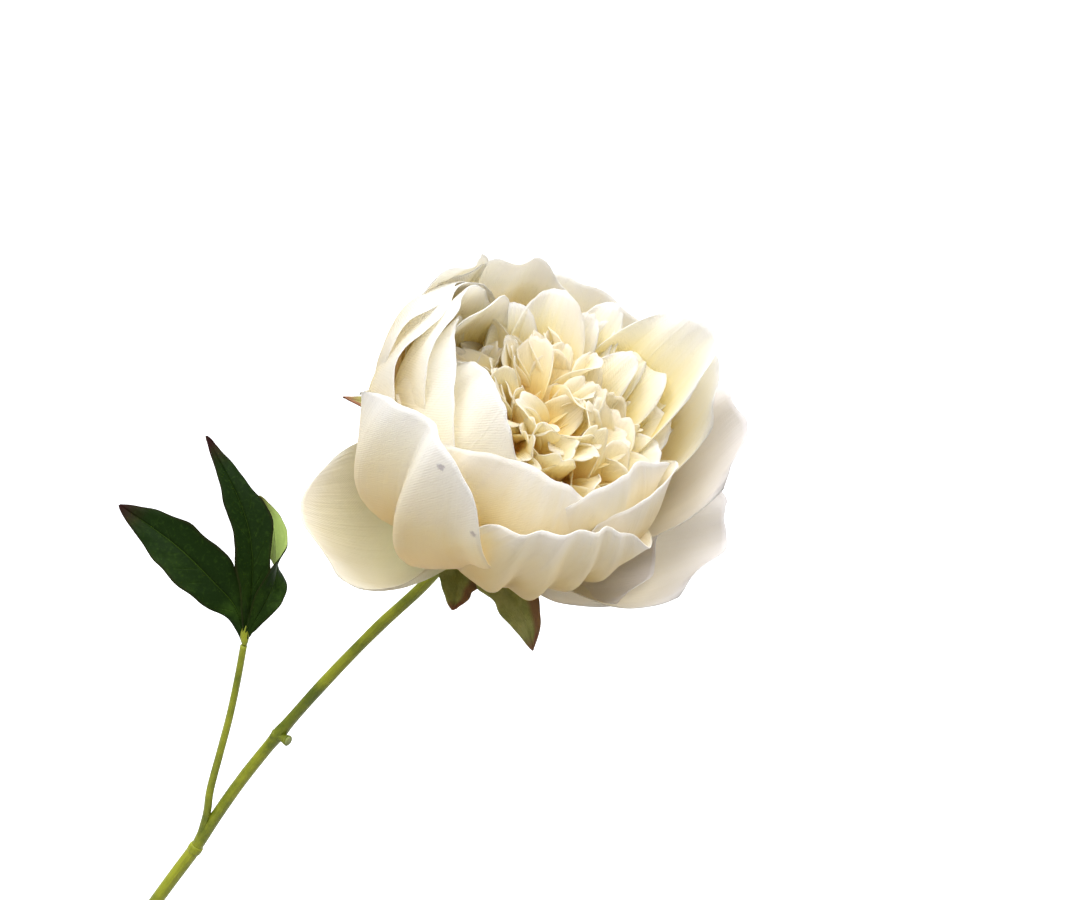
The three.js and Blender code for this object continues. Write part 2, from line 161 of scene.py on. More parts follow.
class Form:
    """One piece in the making: a bmesh with its UV layers, and the object that it becomes."""

    MERGE = 0.001  # places nearer than this are one

    def __init__(self, name: str) -> None:
        """Starts an empty piece with its object's name."""
        self.name = name
        self.bm = bmesh.new()
        self.unit = self.bm.loops.layers.uv.new("unit")  # 0 to 1 across and along each sheet
        self.cloth = self.bm.loops.layers.uv.new("cloth")  # the same in centimetres
        self.tone = self.bm.verts.layers.float.new("tone")  # one random value for each sheet

    def sheet(
        self, surface: Surface, across: int, along: int, size: Pair,
        tone: float = 0.5, matrix: Matrix | None = None,
    ) -> list[bmesh.types.BMVert]:
        """Adds a grid laid on a surface.

        Args:
            surface: Gives a place for s from -1 to 1 across and t from 0 to 1 along.
            across: Faces from side to side.
            along: Faces from the base to the tip.
            size: The sheet's real width and length, for the cloth's scale.
            tone: A value for the finish, the same all over this sheet.
            matrix: Moves the sheet to its place.

        Returns:
            The new vertices.
        """
        verts = bmesh.ops.create_grid(self.bm, x_segments=across, y_segments=along, size=1.0)["verts"]
        for face in {face for vert in verts for face in vert.link_faces}:
            face.smooth = True
            for loop in face.loops:
                s, t = loop.vert.co.x, (loop.vert.co.y + 1) / 2
                loop[self.unit].uv = ((s + 1) / 2, t)
                loop[self.cloth].uv = (s * size[0] / 20, t * size[1] / 10)
        for vert in verts:
            vert[self.tone] = tone
            vert.co = surface(vert.co.x, (vert.co.y + 1) / 2)
        if matrix is not None:
            bmesh.ops.transform(self.bm, matrix=matrix, verts=verts)
        return verts

    def tube(self, curve: Curve, radius: Callable[[float], float], sides: int, steps: int) -> None:
        """Adds a closed round bar along a curve.

        Args:
            curve: Its middle line.
            radius: Gives the radius at a share of the length.
            sides: Faces round it.
            steps: Faces along it.
        """
        def skin(s: float, t: float) -> Vector:
            """A place on the bar's skin."""
            along = curve.tangent(t)
            side = (Vector((0, 1, 0)) - along * along.y).normalized()
            angle = math.pi * (s + 1)
            return curve.place(t) + radius(t) * (math.cos(angle) * side + math.sin(angle) * along.cross(side))

        girth = 2 * math.pi * radius(0.5)
        verts = self.sheet(skin, sides, steps, (girth, curve.length))
        bmesh.ops.remove_doubles(self.bm, verts=verts, dist=self.MERGE)
        rims = [edge for edge in self.bm.edges if edge.is_boundary]
        bmesh.ops.holes_fill(self.bm, edges=rims, sides=sides)

    def turned(self, profile: Sequence[Pair], steps: int, matrix: Matrix | None = None) -> None:
        """Spins an outline round Z into a closed form, the piece's only one.

        Args:
            profile: Its radii and heights, from the axis out, up and back to the axis.
            steps: Faces round it.
            matrix: Moves the form to its place.
        """
        outline = [self.bm.verts.new((radius, 0, height)) for radius, height in profile]
        edges = [self.bm.edges.new(pair) for pair in zip(outline, outline[1:])]
        bmesh.ops.spin(
            self.bm, geom=outline + edges, cent=(0, 0, 0), axis=(0, 0, 1), dvec=(0, 0, 0),
            angle=2 * math.pi, steps=steps, use_merge=True, use_duplicate=False,
        )
        bmesh.ops.remove_doubles(self.bm, verts=self.bm.verts, dist=self.MERGE)
        bmesh.ops.recalc_face_normals(self.bm, faces=self.bm.faces)
        for face in self.bm.faces:
            face.smooth = True
        if matrix is not None:
            bmesh.ops.transform(self.bm, matrix=matrix, verts=self.bm.verts)

    def finish(
        self, materials: Sequence[Material], slot: str, nodes: Sequence[str], thickness: float = 0.0,
    ) -> None:
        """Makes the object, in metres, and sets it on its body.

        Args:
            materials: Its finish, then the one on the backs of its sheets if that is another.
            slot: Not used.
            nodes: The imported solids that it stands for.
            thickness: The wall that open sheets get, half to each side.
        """
        bmesh.ops.scale(self.bm, vec=(MM, MM, MM), verts=self.bm.verts)
        mesh = bpy.data.meshes.new(self.name)
        self.bm.to_mesh(mesh)
        self.bm.free()
        for material in materials:
            mesh.materials.append(material)
        piece = bpy.data.objects.new(self.name, mesh)
        bpy.context.scene.collection.objects.link(piece)
        if thickness:
            wall = piece.modifiers.new("wall", "SOLIDIFY")
            wall.thickness = thickness * MM
            wall.offset = 0.0
            wall.use_even_offset = False
            wall.material_offset = len(materials) - 1
        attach(piece, BODY)
        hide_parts(*nodes)
        LOG.info("%s: %d faces, for %s", self.name, len(mesh.polygons), ", ".join(nodes))


# ---- shader nodes


class Value:
    """A number that varies over a surface. Operators on it add Math nodes."""

    def __init__(self, bench: "Bench", socket: Socket) -> None:
        """Wraps one output socket of a bench's material."""
        self.bench = bench
        self.socket = socket

    def math(self, operation: str, *others: "Value | float") -> "Value":
        """Adds a Math node whose operands are this value and the others."""
        sockets = dict(enumerate((self, *others)))
        return self.bench.value("ShaderNodeMath", {"operation": operation}, sockets)

    def __add__(self, other: "Value | float") -> "Value":
        """self + other."""
        return self.math("ADD", other)

    __radd__ = __add__

    def __mul__(self, other: "Value | float") -> "Value":
        """self * other."""
        return self.math("MULTIPLY", other)

    __rmul__ = __mul__

    def __sub__(self, other: "Value | float") -> "Value":
        """self - other."""
        return self.math("SUBTRACT", other)

    def __rsub__(self, other: float) -> "Value":
        """other - self."""
        return self.bench.value("ShaderNodeMath", {"operation": "SUBTRACT"}, {0: other, 1: self})

    def __abs__(self) -> "Value":
        """abs(self)."""
        return self.math("ABSOLUTE")

    def rise(self, low: float, high: float) -> "Value":
        """Rises smoothly from 0 at low to 1 at high, or falls where low is the larger."""
        sockets = {"Value": self, "From Min": low, "From Max": high}
        settings = {"interpolation_type": "SMOOTHSTEP"}
        if low > high:
            sockets |= {"From Min": high, "From Max": low, "To Min": 1.0, "To Max": 0.0}
        return self.bench.value("ShaderNodeMapRange", settings, sockets)


Input = Value | Socket | float | Sequence[float]


class Bench:
    """Lays out the nodes of one material, or of the world."""

    def __init__(self, name: str, world: bpy.types.World | None = None) -> None:
        """Starts with no nodes.

        Args:
            name: The new material's name.
            world: The world to lay out instead.
        """
        self.owner = world or bpy.data.materials.new(name)
        self.owner.use_nodes = True
        self.tree = self.owner.node_tree
        self.tree.nodes.clear()

    def node(self, kind: str, settings: dict, sockets: dict) -> bpy.types.Node:
        """Adds a node.

        Args:
            kind: Blender's name for the node's type.
            settings: Its properties, set first. stops, a list of (position, colour), fills a ramp.
            sockets: Values or links by the input's name or index.

        Returns:
            The node.
        """
        made = self.tree.nodes.new(kind)
        for name, setting in settings.items():
            if name == "stops":
                self._fill(made.color_ramp, setting)
            else:
                setattr(made, name, setting)
        for name, given in sockets.items():
            source = given.socket if isinstance(given, Value) else given
            if isinstance(source, Socket):
                self.tree.links.new(source, made.inputs[name])
            else:
                made.inputs[name].default_value = source
        return made

    def value(self, kind: str, settings: dict, sockets: dict, output: int | str = 0) -> Value:
        """Adds a node and takes its number."""
        return Value(self, self.node(kind, settings, sockets).outputs[output])

    @staticmethod
    def _fill(ramp: bpy.types.ColorRamp, table: Stops) -> None:
        """Sets a colour ramp's stops."""
        while len(ramp.elements) < len(table):
            ramp.elements.new(0.5)
        for element, (position, colour) in zip(ramp.elements, table):
            element.position = position
            element.color = colour

    def uv(self, layer: str) -> tuple[Socket, Value, Value]:
        """A UV layer as a vector and as its two numbers."""
        vector = self.node("ShaderNodeUVMap", {"uv_map": layer}, {}).outputs["UV"]
        parts = self.node("ShaderNodeSeparateXYZ", {}, {0: vector}).outputs
        return vector, Value(self, parts[0]), Value(self, parts[1])

    def place(self) -> Socket:
        """The place on the piece, in metres."""
        return self.node("ShaderNodeTexCoord", {}, {}).outputs["Object"]

    def tone(self) -> Value:
        """The value that is the same all over one sheet."""
        return self.value("ShaderNodeAttribute", {"attribute_name": "tone"}, {}, "Fac")

    def stretch(self, vector: Input, scale: Point, angle: float = 0.0) -> Socket:
        """A vector scaled along each axis and turned about the third."""
        sockets = {"Vector": vector, "Scale": scale, "Rotation": (0.0, 0.0, angle)}
        return self.node("ShaderNodeMapping", {}, sockets).outputs[0]

    def noise(self, vector: Input, scale: float, detail: float = 2.0, roughness: float = 0.5) -> Value:
        """Soft noise from 0 to 1."""
        sockets = {"Vector": vector, "Scale": scale, "Detail": detail, "Roughness": roughness}
        return self.value("ShaderNodeTexNoise", {}, sockets, "Fac")

    def distance(self, vector: Input, point: Sequence[float]) -> Value:
        """The distance from a fixed point."""
        sockets = {0: vector, 1: point}
        return self.value("ShaderNodeVectorMath", {"operation": "DISTANCE"}, sockets, "Value")

    def mix(self, factor: Input, first: Input, second: Input) -> Socket:
        """Mixes two colours."""
        settings = {"data_type": "RGBA", "clamp_factor": True}
        return self.node("ShaderNodeMix", settings, {0: factor, 6: first, 7: second}).outputs[2]

    def ramp(self, value: Value, table: Stops) -> Socket:
        """A colour that changes with a number."""
        return self.node("ShaderNodeValToRGB", {"stops": table}, {"Fac": value}).outputs["Color"]

    def relief(self, *layers: tuple[Value, float]) -> Socket:
        """Relief from layers of a height and a depth in millimetres, the first at the bottom."""
        sockets: dict = {"Strength": 1.0}
        for height, depth in layers:
            sockets |= {"Height": height, "Distance": depth * MM}
            sockets["Normal"] = self.node("ShaderNodeBump", {}, sockets).outputs[0]
        return sockets["Normal"]

    def surface(
        self, colour: Input, roughness: Input, normal: Socket | None = None, others: dict | None = None,
        over: Socket | None = None, share: float = 0.0,
    ) -> Material:
        """Closes the material with a Principled shader.

        Args:
            colour: Its base colour.
            roughness: Its roughness.
            normal: Its relief.
            others: More of the shader's values and links by name.
            over: Another shader to mix in.
            share: How much of it.

        Returns:
            The material.
        """
        sockets = {"Base Color": colour, "Roughness": roughness} | (others or {})
        if normal is not None:
            sockets["Normal"] = normal
        shader = self.node("ShaderNodeBsdfPrincipled", {}, sockets).outputs[0]
        if over is not None:
            shader = self.node("ShaderNodeMixShader", {}, {0: share, 1: shader, 2: over}).outputs[0]
        self.node("ShaderNodeOutputMaterial", {}, {"Surface": shader})
        return self.owner


# ---- finishes


@dataclass(frozen=True)
class PetalFinish:
    """Soft petal cloth that pales from the claw to the rim, with long veins and a fine rib. The darker,
    yellower claw end is partly the petal's own yellow and partly painted shade of the deep bloom.
    """

    name: str
    stops: Stops
    shade: Colour
    shade_amount: float = 0.3
    rib: float = 0.05
    through: Colour = srgb(255, 253, 246)  # the colour of light that has passed
    thinness: float = 0.47  # the share of light that passes each face
    dye: Colour = srgb(96, 84, 140)
    dye_radius: float = 0.0016

    VEINS = (34, 1.6, 1)  # noise across and along the petal
    PATCHES = 38.0
    WEAVE = 4.2
    GRAIN = 260.0
    BLOT = 900.0

    def material(self, marks: Sequence[Vector] = ()) -> Material:
        """Builds the finish, with small dye marks at places in metres."""
        bench = Bench(self.name)
        unit, _, along = bench.uv("unit")
        cloth, _, _ = bench.uv("cloth")
        place, tone = bench.place(), bench.tone()
        veins = bench.noise(bench.stretch(unit, self.VEINS), 1.0, 3.0)
        patches = bench.noise(place, self.PATCHES, 3.0)
        # Darker and yellower towards the claw: partly the petal's own yellow, partly painted shade of the
        # deep bloom.
        fade = along + (patches - 0.5) * 0.24 + (veins - 0.5) * 0.12
        colour = bench.ramp(fade, self.stops)
        amount = patches.rise(0.42, 0.72) * self.shade_amount * (0.5 + tone)
        colour = bench.mix(amount, colour, self.shade)
        colour = bench.mix(veins.rise(0.5, 0.8) * 0.14, colour, self.shade)
        for mark in marks:
            blot = bench.distance(place, mark) + (bench.noise(place, self.BLOT) - 0.5) * self.dye_radius
            colour = bench.mix(blot.rise(self.dye_radius, 0.0006) * 0.8, colour, self.dye)
        settings = {"wave_type": "BANDS", "bands_direction": "X"}
        sockets = {"Vector": bench.stretch(cloth, (1, 1, 1), 0.7), "Scale": self.WEAVE, "Distortion": 0.4}
        rib = bench.value("ShaderNodeTexWave", settings, sockets, "Fac")
        relief = bench.relief((rib, self.rib), (veins, 0.35), (bench.noise(place, self.GRAIN, 2.0), 0.12))
        through = bench.node("ShaderNodeBsdfTranslucent", {}, {"Color": self.through, "Normal": relief})
        sheen = {"Specular IOR Level": 0.3, "Sheen Weight": 0.1, "Sheen Roughness": 0.5}
        roughness = 0.52 + (patches - 0.5) * 0.2
        return bench.surface(colour, roughness, relief, sheen, through.outputs[0], self.thinness)


@dataclass(frozen=True)
class LeafFinish:
    """A printed leaf face with pale veins and a dark tip."""

    name: str
    blade: Colour
    light: Colour
    vein: Colour
    tip: Colour
    vein_depth: float

    MOTTLE = 90.0
    FINE = 700.0
    PATCHES = 34.0

    def material(self) -> Material:
        """Builds the finish."""
        bench = Bench(self.name)
        _, across, along = bench.uv("unit")
        place = bench.place()
        outward = abs(across * 2 - 1)
        mottle = bench.noise(place, self.MOTTLE, 4.0, 0.6)
        fine = bench.noise(place, self.FINE, 2.0)
        branch = along - outward * Lobe.SLANT + (mottle - 0.5) * 0.03
        branch = (branch * Lobe.VEINS).math("PINGPONG", 0.5)
        branches = branch.rise(0.09, 0.02) * outward.rise(0.9, 0.4) * mottle.rise(0.4, 0.7) * 0.4
        midrib = outward.rise(0.05, 0.015)
        veins = midrib.math("MAXIMUM", branches)
        patches = bench.noise(place, self.PATCHES, 2.0)
        colour = bench.mix(mottle.rise(0.35, 0.75) * patches.rise(0.4, 0.65), self.blade, self.light)
        colour = bench.mix(fine.rise(0.5, 0.8) * 0.3, colour, self.light)
        colour = bench.mix(veins * (0.25 + patches.rise(0.4, 0.65) * 0.4), colour, self.vein)
        darken = (along + (mottle - 0.5) * 0.2).rise(0.78, 1.0) + outward.rise(0.86, 1.0) * 0.35
        colour = bench.mix(darken, colour, self.tip)
        relief = bench.relief((1 - veins, self.vein_depth), (fine, 0.1))
        return bench.surface(colour, 0.5 + mottle * 0.2, relief, {"Specular IOR Level": 0.06})


@dataclass(frozen=True)
class StemFinish:
    """A smooth green stem with faint lengthwise ridges and brown streaks."""

    name: str
    skin: Colour = srgb(164, 170, 42)
    deep: Colour = srgb(92, 106, 14)
    streak: Colour = srgb(118, 92, 48)

    RIDGES = (14, 0.5, 1)  # noise round and along the stem
    MOTTLE = 60.0
    GRAIN = 800.0

    def material(self) -> Material:
        """Builds the finish."""
        bench = Bench(self.name)
        cloth, _, _ = bench.uv("cloth")
        place = bench.place()
        ridges = bench.noise(bench.stretch(cloth, self.RIDGES), 1.0, 3.0)
        mottle = bench.noise(place, self.MOTTLE, 4.0, 0.6)
        colour = bench.mix(mottle.rise(0.35, 0.7), self.skin, self.deep)
        colour = bench.mix(ridges.rise(0.56, 0.78) * 0.5, colour, self.streak)
        relief = bench.relief((ridges, 0.35), (bench.noise(place, self.GRAIN, 2.0), 0.06))
        return bench.surface(colour, 0.36 + mottle * 0.2, relief, {"Specular IOR Level": 0.35})


@dataclass(frozen=True)
class SepalFinish:
    """Olive sepal cloth, woven and reddish brown towards its edge and tip."""

    name: str
    base: Colour = srgb(150, 154, 76)
    light: Colour = srgb(186, 190, 116)
    rust: Colour = srgb(148, 100, 70)

    MOTTLE = 120.0
    GRAIN = (26, 9, 1)  # noise across and along the sepal

    def material(self) -> Material:
        """Builds the finish."""
        bench = Bench(self.name)
        cloth, _, _ = bench.uv("cloth")
        _, across, along = bench.uv("unit")
        place = bench.place()
        mottle = bench.noise(place, self.MOTTLE, 4.0, 0.6)
        grain = bench.noise(bench.stretch(cloth, self.GRAIN), 1.0, 2.0)
        colour = bench.mix(mottle.rise(0.35, 0.7), self.base, self.light)
        colour = bench.mix(grain.rise(0.5, 0.75) * 0.3, colour, self.light)
        rusty = across.rise(0.36, 0.18) * along.rise(0.2, 0.5) * 0.85 + along.rise(0.86, 1.0)
        colour = bench.mix(rusty + (mottle - 0.5) * 0.3, colour, self.rust)
        sheen = {"Specular IOR Level": 0.3, "Sheen Weight": 0.1}
        return bench.surface(colour, 0.7 + (mottle - 0.5) * 0.2, bench.relief((grain, 0.25)), sheen)


@dataclass(frozen=True)
class GlazeFinish:
    """Glossy off-white glaze, fine specks in it, over a bare ring at the foot."""

    name: str
    glaze: Colour = srgb(233, 230, 221)
    pool: Colour = srgb(214, 212, 200)
    speck: Colour = srgb(150, 130, 104)
    clay: Colour = srgb(204, 186, 160)
    bare_height: float = 0.0022

    POOLS = (30, 30, 9)
    SPECKS = 520.0
    GRIT = 1500.0

    def material(self) -> Material:
        """Builds the finish."""
        bench = Bench(self.name)
        place = bench.place()
        height = bench.value("ShaderNodeSeparateXYZ", {}, {0: place}, 2)
        pooling = bench.noise(bench.stretch(place, self.POOLS), 1.0, 3.0)
        specks = bench.noise(place, self.SPECKS, 1.0)
        colour = bench.mix(pooling.rise(0.4, 0.75), self.glaze, self.pool)
        colour = bench.mix(specks.rise(0.72, 0.78) * 0.6, colour, self.speck)
        bare = (height + (pooling - 0.5) * 0.001).rise(self.bare_height, self.bare_height * 0.6)
        colour = bench.mix(bare, colour, self.clay)
        relief = bench.relief((pooling, 0.5), (bench.noise(place, self.GRIT) * bare, 0.12))
        coat = {"Coat Weight": 0.5 - bare * 0.5, "Coat Roughness": 0.06}
        return bench.surface(colour, 0.16 + pooling * 0.08 + bare * 0.6, relief, coat)


@dataclass(frozen=True)
class WaterFinish:
    """Clear still water, faintly clouded."""

    name: str
    clear: Colour = srgb(226, 238, 238)
    cloudy: Colour = srgb(206, 222, 216)

    CLOUDS = 70.0
    RIPPLES = 120.0

    def material(self) -> Material:
        """Builds the finish."""
        bench = Bench(self.name)
        place = bench.place()
        cloud = bench.noise(place, self.CLOUDS, 3.0)
        colour = bench.mix(cloud, self.clear, self.cloudy)
        relief = bench.relief((bench.noise(place, self.RIPPLES, 1.0), 0.1))
        clearness = {"IOR": 1.333, "Transmission Weight": 0.95}
        return bench.surface(colour, 0.02 + cloud * 0.03, relief, clearness)


IVORY_OUTSIDE = PetalFinish(
    "ivory petal outside",
    stops(
        (0.0, 214, 182, 80), (0.35, 232, 212, 132), (0.6, 247, 237, 192),
        (0.78, 251, 249, 243), (1.0, 251, 252, 255),
    ),
    srgb(242, 228, 196),
)
# The first outer petal's outside: its dye marks, and a dark brownish claw end that is painted shade.
MARKED_SHADED_OUTSIDE = PetalFinish(
    "marked petal shaded outside",
    stops(
        (0.0, 150, 124, 60), (0.25, 184, 157, 88), (0.5, 238, 221, 174),
        (0.74, 252, 248, 236), (1.0, 251, 252, 255),
    ),
    srgb(240, 224, 196),
    thinness=0.4,
)
# The front petals' outside: the ivory finish darkened all over, painted shade for petals that lie in shadow.
SHADED_FRONT_OUTSIDE = PetalFinish(
    "shaded front petal outside",
    stops(
        (0.0, 160, 128, 58), (0.3, 180, 152, 86), (0.6, 200, 176, 112),
        (0.85, 234, 221, 188), (1.0, 250, 248, 248),
    ),
    srgb(200, 182, 150),
    thinness=0.4,
)
# The flared petals' finishes: the ivory ones darkened and greyed as painted shade on the far right of the
# bloom.
SHADED_FLARED_OUTSIDE = PetalFinish(
    "shaded flared petal outside",
    stops((0.0, 190, 172, 104), (0.4, 212, 202, 170), (0.8, 226, 222, 218), (1.0, 236, 234, 238)),
    srgb(222, 212, 196),
    thinness=0.35,
)
SHADED_FLARED_INSIDE = PetalFinish(
    "shaded flared petal inside",
    stops((0.0, 206, 178, 96), (0.4, 218, 202, 146), (0.7, 224, 214, 190), (1.0, 236, 232, 234)),
    srgb(218, 206, 184),
    thinness=0.35,
)
IVORY_INSIDE = PetalFinish(
    "ivory petal inside",
    stops(
        (0.0, 248, 196, 66), (0.45, 253, 222, 100), (0.7, 255, 238, 152),
        (0.88, 253, 249, 226), (1.0, 251, 251, 255),
    ),
    srgb(248, 234, 196),
)
CREAM = PetalFinish(
    "cream petal",
    stops(
        (0.0, 252, 192, 56), (0.28, 255, 216, 104), (0.5, 255, 237, 166),
        (0.74, 255, 248, 218), (1.0, 254, 251, 248),
    ),
    srgb(255, 236, 190),
    shade_amount=0.2,
    rib=0.02,
    through=srgb(255, 251, 232),
    thinness=0.5,
)
# The lowest petal's finishes: the ivory ones darkened and greened as painted shade under the petal above it.
SHADED_LOWEST_OUTSIDE = PetalFinish(
    "shaded petal outside",
    stops((0.0, 190, 190, 112), (0.5, 222, 214, 168), (1.0, 244, 236, 216)),
    srgb(208, 196, 150),
    thinness=0.3,
)
SHADED_LOWEST_INSIDE = PetalFinish(
    "shaded petal inside",
    stops((0.0, 172, 180, 96), (0.5, 204, 196, 142), (0.85, 228, 220, 190), (1.0, 250, 246, 234)),
    srgb(190, 178, 128),
    thinness=0.3,
)
LEAF_FACE = LeafFinish(
    "leaf face", srgb(20, 38, 6), srgb(54, 80, 24), srgb(84, 112, 36), srgb(40, 16, 14), 0.5,
)
LEAF_BACK = LeafFinish(
    "leaf back", srgb(160, 182, 100), srgb(178, 198, 118), srgb(196, 210, 140), srgb(110, 110, 60), 0.3,
)


# ---- vase and water


@dataclass
class BudVase:
    """The narrow-necked vase and the water in it."""

    height: float = 120.0
    base_radius: float = 36.0
    floor: float = 6.0
    floor_radius: float = 33.0
    level: float = 72.0
    clearance: float = 0.35  # between the water and the wall
    meniscus: float = 0.2
    sides: int = 96
    steps: int = 60

    def outside(self) -> list[Pair]:
        """The outer wall, from the foot to under the lip."""
        return self._smoothed([
            (self.base_radius + 3, 3), (44.5, 17), (47, 36), (44, 58), (33, 77), (21.5, 91), (16.2, 103),
            (15.4, 112), (16.8, self.height - 1.6),
        ])

    def inside(self) -> list[Pair]:
        """The inner wall, from the floor to the mouth."""
        return self._smoothed([
            (self.floor_radius + 3.5, self.floor + 3.5), (40.3, 18), (42.5, 36), (39.6, 57), (28.8, 75),
            (17.4, 90), (12.2, 102), (11.4, 110), (12, self.height - 1.4),
        ])

    def _smoothed(self, knots: Sequence[Pair]) -> list[Pair]:
        """Places along a smooth curve through knots of radius and height."""
        curve = Curve([(radius, 0, height) for radius, height in knots])
        places = [curve.place(i / self.steps) for i in range(self.steps + 1)]
        return [(place.x, place.z) for place in places]

    def build(self) -> None:
        """Makes the vase and its water."""
        lip = [(16.6, -0.9), (15.9, -0.3), (15.0, 0.0), (13.9, 0.0), (13.0, -0.3), (12.3, -0.8)]
        foot = [(0, 0), (self.base_radius - 4, 0), (self.base_radius, 0), (self.base_radius + 1.6, 0.6)]
        body = Form("bud_vase")
        body.turned(
            foot + self.outside() + [(radius, self.height + drop) for radius, drop in lip]
            + self.inside()[::-1] + [(self.floor_radius, self.floor), (0, self.floor)],
            self.sides,
        )
        body.finish([GlazeFinish("off-white glaze").material()], "glaze", ["vase"])
        wetted = [(r - self.clearance, z) for r, z in self.inside() if z < self.level]
        brim = wetted[-1][0]
        fill = Form("vase_water")
        bottom = self.floor + self.clearance
        foot = [(0, bottom), (self.floor_radius - self.clearance, bottom)]
        fill.turned(foot + wetted + [(brim - self.meniscus, self.level), (0, self.level)], self.sides)
        fill.finish([WaterFinish("still water").material()], "water", ["water"])


# ---- stem and leaf


@dataclass
class FlowerStem:
    """The stem in its two moulded lengths, with the joint, the leaf's stalk and a cut side shoot."""

    bloom: "BloomFrame"
    foot_radius: float = 2.5
    upper_radius: float = 2.2
    top_radius: float = 1.9
    stalk_radius: float = 1.25
    shoot_radius: float = 1.9
    joint: Point = (35.1, -0.6, 159.3)
    swelling: float = 0.335  # where on the upper length the side shoot stands

    def build(self) -> None:
        """Makes the stem."""
        lower = Curve([
            (-31, 0, 6.75), (-27, 0, 42), (-18, 0, 74), (-5, 0, 100), (8, 0, 120), (22.4, -0.3, 141.3),
            self.joint,
        ])
        upper = Curve([
            self.joint, (45.6, -1.2, 176.2), (56, -2, 191.4), (78.4, -4, 220.2), (102.4, -6, 247.6),
            (119.3, -7.4, 264.8), (129.3, -10.6, 278), self.bloom.on_axis(-12.7), self.bloom.on_axis(-4.4),
        ])
        stalk = Curve([
            (36, -0.6, 161), (39.6, -1.4, 173), (41.3, -2, 182.6), (45.6, -2.5, 198), (49.8, -2.8, 213),
            (53.3, -2.8, 228), (55.7, -2.6, 239.8),
        ])
        along = upper.tangent(0)
        joint = Vector(self.joint)
        collar = Curve([joint - 2.4 * along, joint - 0.8 * along, joint + 0.9 * along])
        nub = Curve([(64.5, -3, 205.6), (66.3, -3.6, 205.3), (68.6, -5, 205), (70.4, -6.4, 204.7)])
        cut = Curve([(70.3, -6.32, 204.72), (70.6, -6.57, 204.65)])
        form = Form("flower_stem")
        form.tube(lower, lambda t: self.foot_radius - 0.1 * t + 0.12 * noise.noise((0, 9 * t, 1)), 24, 90)
        form.tube(upper, self._upper_radius, 24, 120)
        form.tube(collar, lambda t: self.foot_radius + 0.2 - 0.35 * abs(2 * t - 1) ** 4, 28, 10)
        form.tube(stalk, lambda t: self.stalk_radius + 0.25 * (1 - t) + 0.5 * smooth(0.06, 0.0, t), 16, 70)
        form.tube(
            nub, lambda t: self.shoot_radius - 0.4 * smooth(0, 0.4, t) + 0.5 * smooth(0.6, 1, t), 18, 10,
        )
        form.finish([StemFinish("green stem").material()], "stem", ["stem"])
        pith = Form("shoot_cut")
        pith.tube(cut, lambda t: self.shoot_radius - 0.15, 18, 2)
        pale = StemFinish("cut shoot", srgb(190, 198, 122), srgb(166, 180, 98))
        pith.finish([pale.material()], "stem", ["stem"])

    def _upper_radius(self, t: float) -> float:
        """The upper length's radius, with a swelling where the side shoot was cut."""
        even = self.upper_radius + (self.top_radius - self.upper_radius) * t
        node = 0.35 * math.exp(-((t - self.swelling) / 0.02) ** 2)
        return even + node + 0.1 * noise.noise((0, 11 * t, 5)) + 0.5 * smooth(0.93, 0.98, t)


@dataclass(frozen=True)
class Lobe:
    """A pointed leaf lobe or sepal along its midrib, its halves folded up from it."""

    midrib: tuple[Point, ...]
    half_width: float
    roll: Pair = (0.0, 0.0)
    rolling: Pair = (0.0, 1.0)  # the share of the length over which it rolls
    fold: float = 0.2
    wave: float = 0.5
    neck: float = 0.12
    quilt: float = 0.0  # how far the cloth puffs up between its side veins
    seed: float = 0.0

    VEINS = 9
    SLANT = 0.16
    UNEVEN = 0.28
    GROOVE = (0.35, 0.07)  # the midrib's depth and half its width

    def surface(self) -> Surface:
        """The lobe's surface, for s across and t along."""
        curve = Curve(self.midrib)
        facing = Vector((0, 0, 1))

        def at(s: float, t: float) -> Vector:
            """A place on the lobe."""
            tangent = curve.tangent(t)
            normal = (facing - tangent * facing.dot(tangent)).normalized()
            angle = math.radians(self.roll[0] + (self.roll[1] - self.roll[0]) * smooth(*self.rolling, t))
            normal = Matrix.Rotation(angle, 3, tangent) @ normal
            outline = self.neck * (1 - t) + math.sin(math.pi * t) ** (1.4 - 0.6 * t) + 0.03
            jag = noise.noise((math.copysign(2, s), 6.5 * t, self.seed)) * math.sin(math.pi * t)
            breadth = s * self.half_width * outline * (1 + self.UNEVEN * jag)
            ripple = self.wave * s ** 2 * math.sin(9 * t + 2 * s + self.seed)
            ripple += self.quilt * abs(s) * math.sin(2 * math.pi * self.VEINS * (t - self.SLANT * abs(s)))
            ripple += 0.4 * s ** 2 * noise.noise((4 * s, 7 * t, self.seed))
            ripple -= self.GROOVE[0] * math.exp(-(s / self.GROOVE[1]) ** 2)
            raised = self.fold * abs(breadth) + ripple
            return curve.place(t) + breadth * tangent.cross(normal) + raised * normal

        return at


